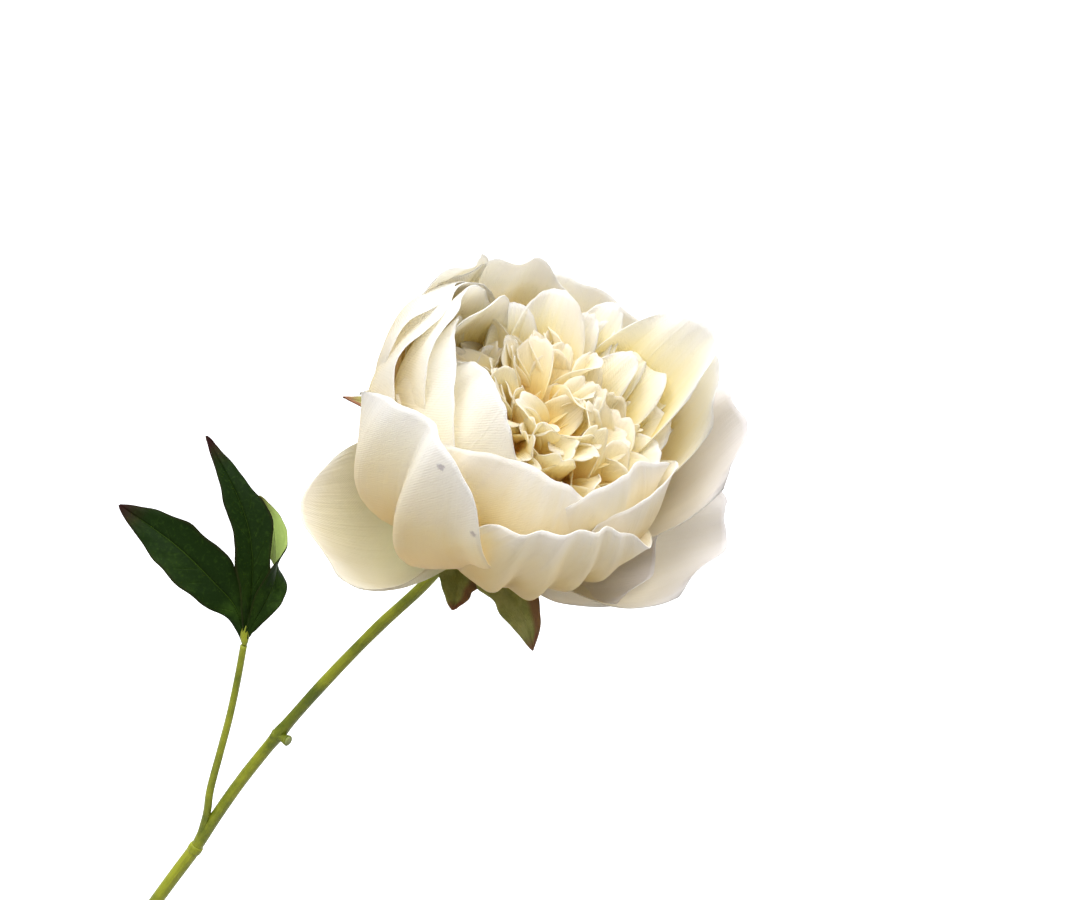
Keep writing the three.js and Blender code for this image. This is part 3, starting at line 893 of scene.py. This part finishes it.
@dataclass
class PeonyLeaf:
    """The three-lobed leaf at the end of its stalk."""

    base: Point = (56.1, -1.8, 242.9)
    tilt: float = 70.0
    thickness: float = 0.55

    def lobes(self) -> tuple[Lobe, ...]:
        """The left, middle and right lobes: x to the right, y up the leaf, z out of its face."""
        left = Lobe(
            ((0, -1, 0), (-3, 10, 1), (-11, 19.8, 3.5), (-23.3, 32, 5), (-43.5, 46, 1)),
            9, (0, 12), wave=0.9, quilt=0.12,
        )
        middle = Lobe(
            (
                (0, -1, 0), (2.4, 14, 2), (3.2, 26, 3), (1.6, 38, 2.8), (-2.4, 49.5, 2), (-8.4, 60.5, 0),
                (-13.8, 70, -3),
            ),
            6.6, (20, 35), fold=0.3, wave=1.1, quilt=0.15, seed=1.7,
        )
        right = Lobe(
            (
                (0, -1, 0), (4, 6, 2), (8, 12.8, 2.2), (10.6, 20, -0.5), (10.4, 30, -5), (8.4, 41, -8),
                (4.2, 49, -9),
            ),
            5.4, (10, 160), (0.2, 0.8), quilt=0.1, seed=3.1,
        )
        return (left, middle, right)

    def build(self) -> None:
        """Makes the leaf."""
        place = Matrix.Translation(self.base) @ turn(self.tilt, "X")
        form = Form("peony_leaf")
        for i, lobe in enumerate(self.lobes()):
            form.sheet(lobe.surface(), 28, 64, (2 * lobe.half_width, 60), i / 2, place)
        form.finish([LEAF_FACE.material(), LEAF_BACK.material()], "leaf", ["leaf"], self.thickness)
        knuckle = Form("leaf_knuckle")
        knuckle.tube(
            Curve([place @ Vector((0, -3.2, 0)), place @ Vector((0, 0, 0)), place @ Vector((0.6, 4, 0.8))]),
            lambda t: 0.5 + 1.1 * math.sin(math.pi * min(max(t, 0.02), 0.98)) ** 0.6, 16, 20,
        )
        knuckle.finish([StemFinish("leaf knuckle").material()], "leaf", ["leaf"])


# ---- bloom


@dataclass
class BloomFrame:
    """Where the bloom stands: its receptacle, the lean of its axis and the turn of its petals."""

    receptacle: Point = (137.2, -21.0, 294.2)
    lean: float = 39.4
    heading: float = -57.2
    spin: float = -52.3

    def matrix(self) -> Matrix:
        """Takes the bloom's own frame, with its axis along Z, to the vase's."""
        turned = turn(self.heading, "Z") @ turn(self.lean, "Y") @ turn(self.spin, "Z")
        return Matrix.Translation(self.receptacle) @ turned

    def on_axis(self, height: float) -> Vector:
        """A place on the bloom's axis."""
        return self.matrix() @ Vector((0, 0, height))


class Whorl(Enum):
    """The layers of guard petals, each a piece of its own."""

    OUTER = "outer_petals"
    FRONT = "front_petals"
    FLARED = "flared_petals"
    MIDDLE = "middle_petals"
    INNER = "inner_petals"


@dataclass(frozen=True)
class Petal:
    """A petal that grows from the bloom's axis.

    Going up the petal, its tilt from the axis passes through three angles, its sides roll inward
    to a radius, its outline widens from a narrow claw to the belly and closes in a rounded tip,
    and its rim waves. Skew raises one side of the tip. Flutes run along it, dents lie all over it,
    crinkles are near its rim, and its lip rolls outward.
    """

    azimuth: float
    length: float
    width: float
    tilt: Point
    roll: Pair
    twist: float = 0.0
    root: float = 5.0
    rise: float = 2.0
    shoulder: float = 0.55
    belly: float = 0.62
    claw: float = 0.25
    wave: float = 1.5
    waves: float = 2.0
    phase: float = 0.0
    notch: float = 0.0
    skew: float = 0.0
    flute: float = 3.0
    pitch: float = 14.0
    dent: float = 2.2
    crinkle: float = 0.25
    lip: float = 1.2
    folds: tuple[Fold, ...] = ()

    STEPS = 24
    RAGGED = 0.012  # how uneven the tip's outline is, as a share of the length
    NOTCH = 0.16  # half the notch's width, as a share of half the petal's
    FLUTE_RUN = 75
    DENT_SIZE = (26, 28)
    CRINKLE_SIZE = (5, 18)
    FOLD_RISE = (0.1, 0.6)  # the share of the length over which folds rise
    FOLD_FADE = 0.6  # how much of them is gone at the tip
    EDGE_WAVE = 0.6  # the side rims' waves beside the tip's, and how much closer together they are
    EDGE_WAVES = 1.3

    def _tilt(self, share: float) -> float:
        """The tilt from the axis, in radians, at a share of the length."""
        low, middle, high = self.tilt
        ends = low * (2 * share - 1) * (share - 1) + high * share * (2 * share - 1)
        return math.radians(ends + middle * 4 * share * (1 - share))

    def _reach(self, s: float, t: float, tip: float, seed: float) -> float:
        """How far up the petal a place lies, as a share of its length."""
        reach = self.shoulder + (1 - self.shoulder) * tip * math.sqrt(1 - s ** 2 / 2) if tip else t
        ragged = self.RAGGED * tip ** 2 * noise.noise((5 * s, seed, 0))
        reach = reach * (1 + ragged) - self.notch * math.exp(-(s / self.NOTCH) ** 2) * tip ** 2
        return reach + self.skew * s * tip

    def _creases(self, s: float, t: float, tip: float, girth: float) -> Iterator[float]:
        """How far each fold stands out of the petal at a place."""
        risen = smooth(*self.FOLD_RISE, t) * (1 - self.FOLD_FADE * tip ** 2)
        for start, end, width, height in self.folds:
            aside = (s - start - (end - start) * t) * self.width / 2 * girth / width
            yield height * math.exp(-aside ** 2) * risen

    def surface(self) -> Surface:
        """The petal's surface in the bloom's frame, for s across and t along."""
        meridian = [Vector((self.root, self.rise))]
        step = self.length / self.STEPS
        for i in range(self.STEPS):
            angle = self._tilt((i + 0.5) / self.STEPS)
            meridian.append(meridian[-1] + step * Vector((math.sin(angle), math.cos(angle))))
        seed = self.azimuth * 0.37 + self.length

        def at(s: float, t: float) -> Vector:
            """A place on the petal."""
            tip = max((t - self.shoulder) / (1 - self.shoulder), 0.0)
            girth = self.claw + (1 - self.claw) * math.sin(math.pi / 2 * min(t / self.belly, 1)) ** 0.9
            across = s * self.width / 2 * girth * math.sqrt(1 - tip ** 2 / 2)
            along = self._reach(s, t, tip, seed)
            walked = along * self.length
            whole = min(int(along * self.STEPS), self.STEPS - 1)
            foot = meridian[whole].lerp(meridian[whole + 1], along * self.STEPS - whole)
            tilt = self._tilt(along)
            bend = self.roll[0] + (self.roll[1] - self.roll[0]) * along
            edge = math.sin(self.waves * math.pi * (1 - t) * self.EDGE_WAVES + self.phase)
            edge *= self.EDGE_WAVE * s ** 4 * t * (1 - tip)
            ripple = self.wave * (tip ** 2 * math.sin(self.waves * math.pi * s + self.phase) + edge)
            flutes = noise.noise((across / self.pitch, walked / self.FLUTE_RUN, seed))
            dents = noise.noise((across / self.DENT_SIZE[0], walked / self.DENT_SIZE[1], seed + 4))
            crinkles = noise.noise((across / self.CRINKLE_SIZE[0], walked / self.CRINKLE_SIZE[1], seed + 9))
            crinkles *= max(tip, s ** 2)
            ripple += t * (self.flute * flutes + self.dent * dents + self.crinkle * crinkles)
            ripple -= self.lip * tip ** 4
            for crease in self._creases(s, t, tip, girth):
                ripple -= crease
            inward = bend * (1 - math.cos(across / bend)) + ripple
            sideways = bend * math.sin(across / bend)
            outward = foot.x - math.cos(tilt) * inward
            bearing = math.radians(self.azimuth + self.twist * along)
            return Vector((
                math.cos(bearing) * outward - math.sin(bearing) * sideways,
                math.sin(bearing) * outward + math.cos(bearing) * sideways,
                foot.y + math.sin(tilt) * inward,
            ))

        return at

    def grow(self, form: Form, across: int, along: int, tone: float, matrix: Matrix) -> None:
        """Adds the petal to a piece."""
        form.sheet(self.surface(), across, along, (self.width, self.length), tone, matrix)


GUARDS: dict[Whorl, tuple[Petal, ...]] = {
    Whorl.OUTER: (
        Petal(
            -21.4, 111, 95, (85, 29.5, -24.4), (14, 64), -15, shoulder=0.384, skew=0.125,
            wave=0.5, flute=1.5, pitch=20,
            folds=((-0.4, -0.14, 8, 3), (0.0, 0.14, 5, -6), (0.28, 0.36, 7, 5), (0.62, 0.75, 8, -3)),
        ),
    ),
    Whorl.FLARED: (
        Petal(110, 88, 78, (104, 62, 14), (16, 60), -4, wave=2),
        Petal(98, 62, 60, (100, 66, 30), (16, 60), rise=0, wave=2),
        Petal(127, 103, 64, (94, 40, 8), (16, 50), wave=2),
    ),
    Whorl.MIDDLE: (
        Petal(143, 104, 60, (90, 28, 12), (16, 50), wave=2),
        Petal(-173, 97, 88, (90, 34, -10), (16, 50), wave=1, waves=1.2, phase=1),
        Petal(-135, 104, 84, (90, 27, -22), (16, 46), wave=1.2, flute=5, pitch=12),
        Petal(-117, 107, 30, (88, 28, -34), (16, 30), rise=8, wave=1.2),
        Petal(-92, 111, 93, (97, 23, -35), (16, 46), -4),
        Petal(-104, 107, 58, (92, 29, -36), (14, 36), rise=3, wave=1),
        Petal(
            -52, 101, 80, (88, 17, -28), (14, 38), -14, rise=6, shoulder=0.64, wave=0.8, flute=2,
            folds=((0.0, 0.2, 7, -3), (-0.3, -0.1, 8, 2)),
        ),
        Petal(-84, 102, 74, (84, 20, -26), (14, 34), -6, rise=8, wave=0.8, flute=2),
    ),
    Whorl.FRONT: (
        Petal(
            42, 103, 87, (91, 30.5, -10), (18, 58), -3, root=2, shoulder=0.54, belly=0.6, skew=-0.045,
            wave=1.4, waves=1.6, flute=2.5, pitch=9, lip=0,
            folds=(
                (0.1, -0.72, 6, 2.5), (0.1, -0.5, 5, -4), (0.2, -0.3, 5, 3), (0.3, -0.1, 5, -4),
                (0.35, 0.08, 4, 2.5), (0.45, 0.22, 4, -3.5), (0.6, 0.36, 4, 3),
            ),
        ),
        Petal(
            12, 103, 104, (94, 18, -40), (14, 42), rise=4, wave=1.2, flute=3, pitch=20,
            folds=((-0.1, -0.2, 12, -4), (0.4, 0.5, 12, 2.5)),
        ),
        Petal(64, 101, 84, (94, 18, -34), (14, 46), rise=5, flute=4),
        Petal(78, 98, 76, (96, 24, -20), (14, 46), rise=3),
    ),
    Whorl.INNER: (
        Petal(-104, 94, 48, (84, 14, -22), (14, 30), -4, rise=10, shoulder=0.4, wave=0.8, flute=2),
        Petal(146, 106, 52, (84, 22, 10), (14, 22), rise=6),
        Petal(151, 91, 46, (84, 42, 6), (14, 24), rise=6, wave=0.8),
        Petal(
            -30, 97, 58, (80, 11, -34), (14, 30), -4, rise=10, shoulder=0.62, wave=0.8, flute=2,
            folds=((-0.4, -0.4, 5, -3), (0.2, 0.1, 7, 2.5)),
        ),
    ),
}
LOWEST = Petal(
    -34, 57, 83, (106, 92, 40), (14, 34), -14, rise=-1, shoulder=0.4, wave=1, lip=2, flute=2,
    folds=((0.3, 0.5, 6, -2), (0.75, 0.9, 3.5, 3)),
)
# Where the dye marks lie across and along the first petal of a layer.
MARKS = {Whorl.OUTER: ((0.5, 0.95), (0.25, 0.7), (0.9, 0.86)), Whorl.FRONT: ((0.1, 0.3),)}


@dataclass
class GuardPetals:
    """The ivory petals round the centre, and the cushion that they grow from."""

    frame: BloomFrame
    thickness: float = 0.32
    across: int = 36
    along: int = 44
    sides: int = 48
    seed: int = 11

    def build(self) -> None:
        """Makes the petals, one piece for each layer, and the cushion that they grow from."""
        matrix = self.frame.matrix()
        marks = {
            whorl: [(matrix @ GUARDS[whorl][0].surface()(s, t)) * MM for s, t in places]
            for whorl, places in MARKS.items()
        }
        plain = [IVORY_OUTSIDE.material(), IVORY_INSIDE.material()]
        finishes = {whorl: plain for whorl in Whorl}
        # The outer petal's finish has painted shade at its claw; the front and flared petals wear copies of
        # the ivory finish darkened as painted shade.
        finishes[Whorl.OUTER] = [MARKED_SHADED_OUTSIDE.material(marks[Whorl.OUTER]), IVORY_INSIDE.material()]
        finishes[Whorl.FRONT] = [SHADED_FRONT_OUTSIDE.material(marks[Whorl.FRONT]), IVORY_INSIDE.material()]
        finishes[Whorl.FLARED] = [SHADED_FLARED_OUTSIDE.material(), SHADED_FLARED_INSIDE.material()]
        draws = Draws(self.seed)
        for whorl, petals in GUARDS.items():
            form = Form(whorl.value)
            for petal in petals:
                petal.grow(form, self.across, self.along, draws.draw(), matrix)
            form.finish(finishes[whorl], "ivory_petal", ["guard_petals"], self.thickness)
        lowest = Form("lowest_petal")
        LOWEST.grow(lowest, self.across, self.along, 0.5, matrix)
        # A copy of the ivory finish darkened and greened as painted shade.
        shaded = [SHADED_LOWEST_OUTSIDE.material(), SHADED_LOWEST_INSIDE.material()]
        lowest.finish(shaded, "ivory_petal", ["guard_petals"], self.thickness)
        cushion = Form("petal_cushion")
        under = [(0, -2), (8.5, -2), (14, 0.5), (21, 3.5), (26, 8.5), (28, 15)]
        cushion.turned(under + [(26, 19), (20, 17.5), (14, 13), (0, 13)], self.sides, matrix)
        cushion.finish(plain[:1], "ivory_petal", ["guard_petals"])


@dataclass
class Centre:
    """The ruffled cream centre: a dome set with small notched petals, and longer ones round them."""

    frame: BloomFrame
    seed: int = 7
    count: int = 96
    spread: float = 26.0
    top: float = 50.0
    droop: float = 12.0
    dome_radius: float = 17.0
    dome_centre: float = 38.0
    seat: float = 13.3
    sides: int = 48
    frill_faces: tuple[int, int] = (14, 18)
    collar_faces: tuple[int, int] = (20, 30)
    thickness: float = 0.3
    golden_turn: float = 2.399963

    @staticmethod
    def _stand(azimuth: float, length: float, width: float, tilt: Point, bend: float = 16) -> Petal:
        """A longer petal, which looks outward or inward by its tilt."""
        return Petal(
            azimuth, length, width, tilt, (11, bend), root=13, rise=15, shoulder=0.5, belly=0.8, claw=0.4,
            wave=0.8, phase=azimuth, flute=2, dent=1.4, crinkle=0.15, lip=0.8,
        )

    def collar(self) -> list[Petal]:
        """The longer petals that stand round the small ones."""
        rows = (
            (-140, 61, 24, (41, 18, 46)), (-160, 67, 34, (44, 20, 49)), (-176, 63, 20, (45, 23, 45), 9),
            (178, 69, 22, (50, 27, 50)), (176, 63, 18, (48, 27, 43), 8), (158, 62, 20, (44, 21, 44)),
            (150, 65, 36, (61, 27, 46)), (129, 58, 36, (62, 30, 42)), (114, 55, 26, (47, 28, 32)),
            (-136, 61, 14, (46, 24, 41)), (-122, 49, 24, (35, 16, 20)), (162, 65, 26, (50, 29, 45)),
            (147, 70, 22, (56, 35, 51)), (-70, 52, 26, (44, 20, 14)), (-95, 54, 24, (44, 18, 20)),
            (-30, 50, 26, (44, 20, 12)), (15, 50, 28, (44, 22, 10)), (60, 50, 26, (44, 22, 16)),
        )
        return [self._stand(*row) for row in rows]

    def frill(self, draws: Draws, share: float, turned: float) -> tuple[Petal, Matrix]:
        """One small petal and its place on the dome.

        Args:
            draws: The seeded draws.
            share: From 0 at the middle to 1 at the rim.
            turned: Its direction from the axis, in radians.

        Returns:
            The petal and the matrix from its frame to the bloom's.
        """
        reach = self.spread * math.sqrt(share)
        height = self.top - self.droop * share ** 2
        foot = Vector((reach * math.cos(turned), reach * math.sin(turned), height))
        lean = 0.55 * share + draws.spread(0.9)
        facing = turned + draws.spread(1.6)
        length = 26 + 4 * share + draws.spread(8)
        width = 15 + 4 * share + draws.spread(7)
        tilt = (8, 14 + draws.spread(30), 26 + draws.spread(90))
        petal = Petal(
            draws.spread(260), length, width, tilt, (5, 7 + 5 * draws.draw()), root=0, rise=-4, shoulder=0.42,
            claw=0.4, belly=0.6, wave=0.6, waves=1 + draws.draw(), phase=6 * draws.draw(),
            notch=0.12 * draws.draw(), flute=1.0, dent=1.0, crinkle=0.1, lip=0.8,
        )
        place = Matrix.Translation(foot) @ Matrix.Rotation(facing, 4, "Z") @ Matrix.Rotation(lean, 4, "Y")
        return petal, place

    def build(self) -> None:
        """Makes the centre's dome and its petals."""
        matrix = self.frame.matrix()
        finish = CREAM.material()
        dome = Form("centre_dome")
        foot = [(0, self.seat), (6, self.seat), (7, 20), (12.5, 25.5), (16.2, 33)]
        crown = [(14.7, 46.5), (8.5, 52.7), (0, self.dome_centre + self.dome_radius)]
        dome.turned(foot + [(self.dome_radius, self.dome_centre)] + crown, self.sides, matrix)
        dome.finish([finish], "cream_petal", ["centre_petals"])
        draws = Draws(self.seed)
        frills = Form("centre_frills")
        for i in range(self.count):
            petal, place = self.frill(draws, (i + 0.5) / self.count, i * self.golden_turn)
            petal.grow(frills, *self.frill_faces, draws.draw(), matrix @ place)
        frills.finish([finish], "cream_petal", ["centre_petals"], self.thickness)
        collar = Form("collar_petals")
        for petal in self.collar():
            petal.grow(collar, *self.collar_faces, draws.draw(), matrix)
        collar.finish([IVORY_INSIDE.material()], "cream_petal", ["centre_petals"], self.thickness)


@dataclass
class Calyx:
    """The green cup under the petals and its five sepals."""

    frame: BloomFrame
    foot: float = -11.5
    top: float = -2.3
    sides: int = 40
    thickness: float = 0.6

    def sepals(self) -> tuple[tuple[float, Lobe], ...]:
        """Each sepal's compass direction on the bloom and its shape."""
        def sepal(azimuth: float, half_width: float, *run: Point) -> tuple[float, Lobe]:
            """A sepal whose midrib starts in the cup and runs outward."""
            return azimuth, Lobe(((4.0, 0.0, -6.0), *run), half_width, fold=0.12, neck=0.5, seed=azimuth)

        return (
            sepal(60, 7, (16, 0, -6.5), (32, 0, -6), (40, 0, -8.5), (46, 0, -13)),
            sepal(19, 6, (12, 0, -8), (21, 0, -9), (31, 0, -9)),
            sepal(-107, 5, (18, -6, -9), (38, -14, -9.5), (52, -11, -8), (63.5, -1, -6)),
            sepal(-170, 7, (14, 0, -7.5), (25, 0, -7), (36, 0, -4.5)),
            sepal(118, 6, (13, 0, -7.5), (23, 0, -7.5), (33, 0, -6)),
        )

    def build(self) -> None:
        """Makes the cup and the sepals."""
        matrix = self.frame.matrix()
        finish = SepalFinish("olive sepal").material()
        cup = Form("calyx_cup")
        foot = [(0, self.foot), (2.6, self.foot), (4.2, self.foot + 0.4)]
        side = [(5.8, -9.8), (7.2, -8), (8.2, -4.5), (7.6, self.top), (0, self.top)]
        cup.turned(foot + side, self.sides, matrix)
        cup.finish([finish], "sepal", ["calyx"])
        form = Form("sepals")
        for azimuth, lobe in self.sepals():
            size = (2 * lobe.half_width, lobe.midrib[-1][0])
            form.sheet(lobe.surface(), 16, 40, size, 0.5, matrix @ turn(azimuth, "Z"))
        form.finish([finish], "sepal", ["calyx"], self.thickness)


# ---- studio


@dataclass
class Studio:
    """The camera, the lights and the pale floor."""

    target: Point = (0.1602, -0.0505, 0.330)
    distance: float = 0.820
    elevation: float = 20.0
    lens: float = 85.0
    sensor: float = 36.0
    floor_span: float = 16.0
    floor_glow: float = 0.45
    bounces: int = 16
    cloth_bounces: int = 12  # light goes through several petals
    lamp_colour: Point = (0.945, 0.965, 1.0)

    def build(self) -> None:
        """Sets up the whole studio."""
        self._camera()
        self._floor()
        self._sky()
        self._lamp("left", (-0.5, -0.4, 1.25), 0.8, 9.8)
        self._lamp("right", (0.3, -0.6, 1.2), 0.6, 12.0)
        self._lamp("back", (0.1, 0.7, 1.3), 1.2, 5.5)
        scene = bpy.context.scene
        scene.view_settings.view_transform = "Standard"
        scene.cycles.max_bounces = self.bounces
        scene.cycles.diffuse_bounces = self.cloth_bounces

    def _camera(self) -> None:
        """Places the camera."""
        data = bpy.data.cameras.new("camera")
        data.lens = self.lens
        data.sensor_width = self.sensor
        angle = math.radians(self.elevation)
        back = self.distance * Vector((0, -math.cos(angle), math.sin(angle)))
        bpy.context.scene.camera = self._set(data, back)

    def _set(self, data: bpy.types.ID, offset: Vector) -> bpy.types.Object:
        """Sets a camera or a light at an offset from the target, in metres, and faces it."""
        thing = bpy.data.objects.new(data.name, data)
        thing.location = Vector(self.target) + offset
        thing.rotation_euler = (-offset).to_track_quat("-Z", "Y").to_euler()
        bpy.context.scene.collection.objects.link(thing)
        return thing

    def _floor(self) -> None:
        """Lays the floor."""
        bm = bmesh.new()
        bmesh.ops.create_grid(bm, x_segments=8, y_segments=8, size=self.floor_span / 2)
        mesh = bpy.data.meshes.new("floor")
        bm.to_mesh(mesh)
        bm.free()
        floor = bpy.data.objects.new("floor", mesh)
        glow = {"Emission Color": (1.0, 1.0, 1.0, 1.0), "Emission Strength": self.floor_glow}
        mesh.materials.append(Bench("floor").surface(srgb(250, 250, 250), 0.9, others=glow))
        floor.visible_diffuse = False
        bpy.context.scene.collection.objects.link(floor)

    def _sky(self) -> None:
        """Fills the studio with light that is stronger from above, behind a white backdrop."""
        world = bpy.data.worlds.new("studio")
        bench = Bench("studio", world)
        direction = bench.node("ShaderNodeTexCoord", {}, {}).outputs["Generated"]
        height = bench.value("ShaderNodeSeparateXYZ", {}, {0: direction}, 2)
        lift = bench.value("ShaderNodeMapRange", {}, {"Value": height, "From Min": -1.0})
        light = bench.ramp(lift, ((0.4, (0.13, 0.11, 0.10, 1)), (0.85, (0.98, 0.98, 0.99, 1))))
        seen = bench.value("ShaderNodeLightPath", {}, {}, "Is Camera Ray")
        sockets = {"Color": bench.mix(seen, light, (1, 1, 1, 1))}
        background = bench.node("ShaderNodeBackground", {}, sockets).outputs[0]
        bench.node("ShaderNodeOutputWorld", {}, {"Surface": background})
        bpy.context.scene.world = world

    def _lamp(self, name: str, offset: Point, size: float, power: float) -> None:
        """Hangs a square soft light.

        Args:
            name: The light's name.
            offset: Its place from the camera's target, in metres.
            size: The length of its side.
            power: Its power in watts.
        """
        data = bpy.data.lights.new(name, "AREA")
        data.size = size
        data.energy = power
        data.color = self.lamp_colour
        self._set(data, Vector(offset))


def main() -> None:
    """Builds the peony, its vase and the studio."""
    logging.basicConfig(level=logging.INFO, format="%(name)s: %(message)s")
    Studio().build()
    bloom = BloomFrame()
    BudVase().build()
    FlowerStem(bloom).build()
    PeonyLeaf().build()
    Calyx(bloom).build()
    GuardPetals(bloom).build()
    Centre(bloom).build()


if __name__ == "__main__":
    main()
